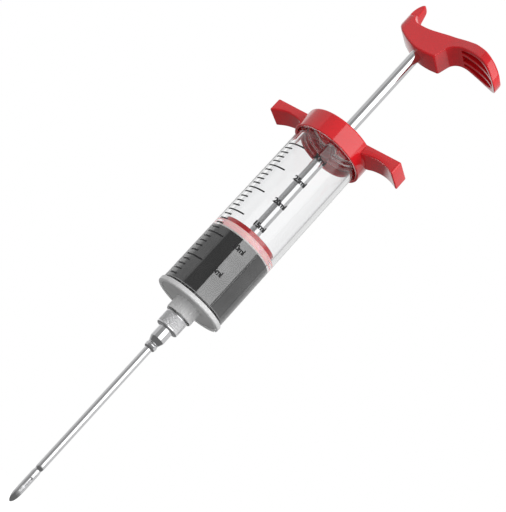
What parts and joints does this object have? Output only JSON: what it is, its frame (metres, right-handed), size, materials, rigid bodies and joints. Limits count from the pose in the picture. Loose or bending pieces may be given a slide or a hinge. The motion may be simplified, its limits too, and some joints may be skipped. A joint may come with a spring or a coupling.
{
  "type": "meat injector",
  "caption": "Hand syringe that injects marinade into meat: clear graduated barrel, screw cap with finger wings, plunger with palm handle, side-port needle on a knurled nut.",
  "frame": {"origin": "on the barrel's axis, at the underside of the barrel's foot, where the nozzle boss starts", "axes": "+Z along the barrel's axis towards the handle, -Z towards the needle's point; +X along the cap's wings, on the palm rest's side; +Y completes the right-handed frame"},
  "size_m": [0.068, 0.031, 0.2512],
  "materials": {
    "clear_plastic": "clear polished SAN plastic",
    "red_plastic": "glossy injection-moulded red plastic",
    "marinade": "dark liquid, opaque",
    "seal_silicone": "satin translucent silicone",
    "gasket_silicone": "satin white silicone",
    "polished_steel": "polished stainless steel",
    "needle_steel": "drawn and polished stainless steel",
    "nut_plating": "bright nickel plate over fine knurling",
    "brass_insert": "machined brass",
    "white_plastic": "white moulded plastic"
  },
  "bodies": {
    "barrel": {"barrel": "clear_plastic", "marinade": "marinade", "nozzle_gasket": "gasket_silicone"},
    "piston": {"piston_core": "red_plastic", "piston_seal": "seal_silicone", "seal_plate": "white_plastic"},
    "plunger": {"plunger_rod": "polished_steel", "handle": "red_plastic", "handle_insert": "brass_insert", "piston_nut": "needle_steel"},
    "cap_seal": {"cap_gasket": "gasket_silicone"},
    "cap": {"barrel_cap": "red_plastic"},
    "needle": {"needle_hub": "polished_steel", "needle_ferrule": "polished_steel", "needle_tube": "needle_steel"},
    "nut": {"knurled_nut": "nut_plating"}
  },
  "joints": [
    {"name": "plunger_slide", "type": "slide", "parent": "barrel", "child": "piston", "axis": [0, 0, 1], "range_m": [-0.0265, 0.0524], "deforming": ["marinade"]},
    {"name": "handle_turn", "type": "hinge", "parent": "piston", "child": "plunger", "pos_m": [0, 0, 0.1], "axis": [0, 0, 1], "continuous": true},
    {"name": "cap_lift", "type": "slide", "parent": "barrel", "child": "cap_seal", "axis": [0, 0, 1], "range_m": [0, 0.00715]},
    {"name": "cap_turn", "type": "hinge", "parent": "cap_seal", "child": "cap", "pos_m": [0, 0, 0.085], "axis": [0, 0, 1], "range_deg": [0, 990]},
    {"name": "needle_slide", "type": "slide", "parent": "barrel", "child": "needle", "axis": [0, 0, -1], "range_m": [0, 0.00455]},
    {"name": "nut_turn", "type": "hinge", "parent": "needle", "child": "nut", "pos_m": [0, 0, -0.009], "axis": [0, 0, -1], "range_deg": [0, 1170]}
  ],
  "couplings": [
    {"joint": "cap_turn", "follows": "cap_lift", "rad_per_m": 2416.6},
    {"joint": "nut_turn", "follows": "needle_slide", "rad_per_m": 4488}
  ]
}
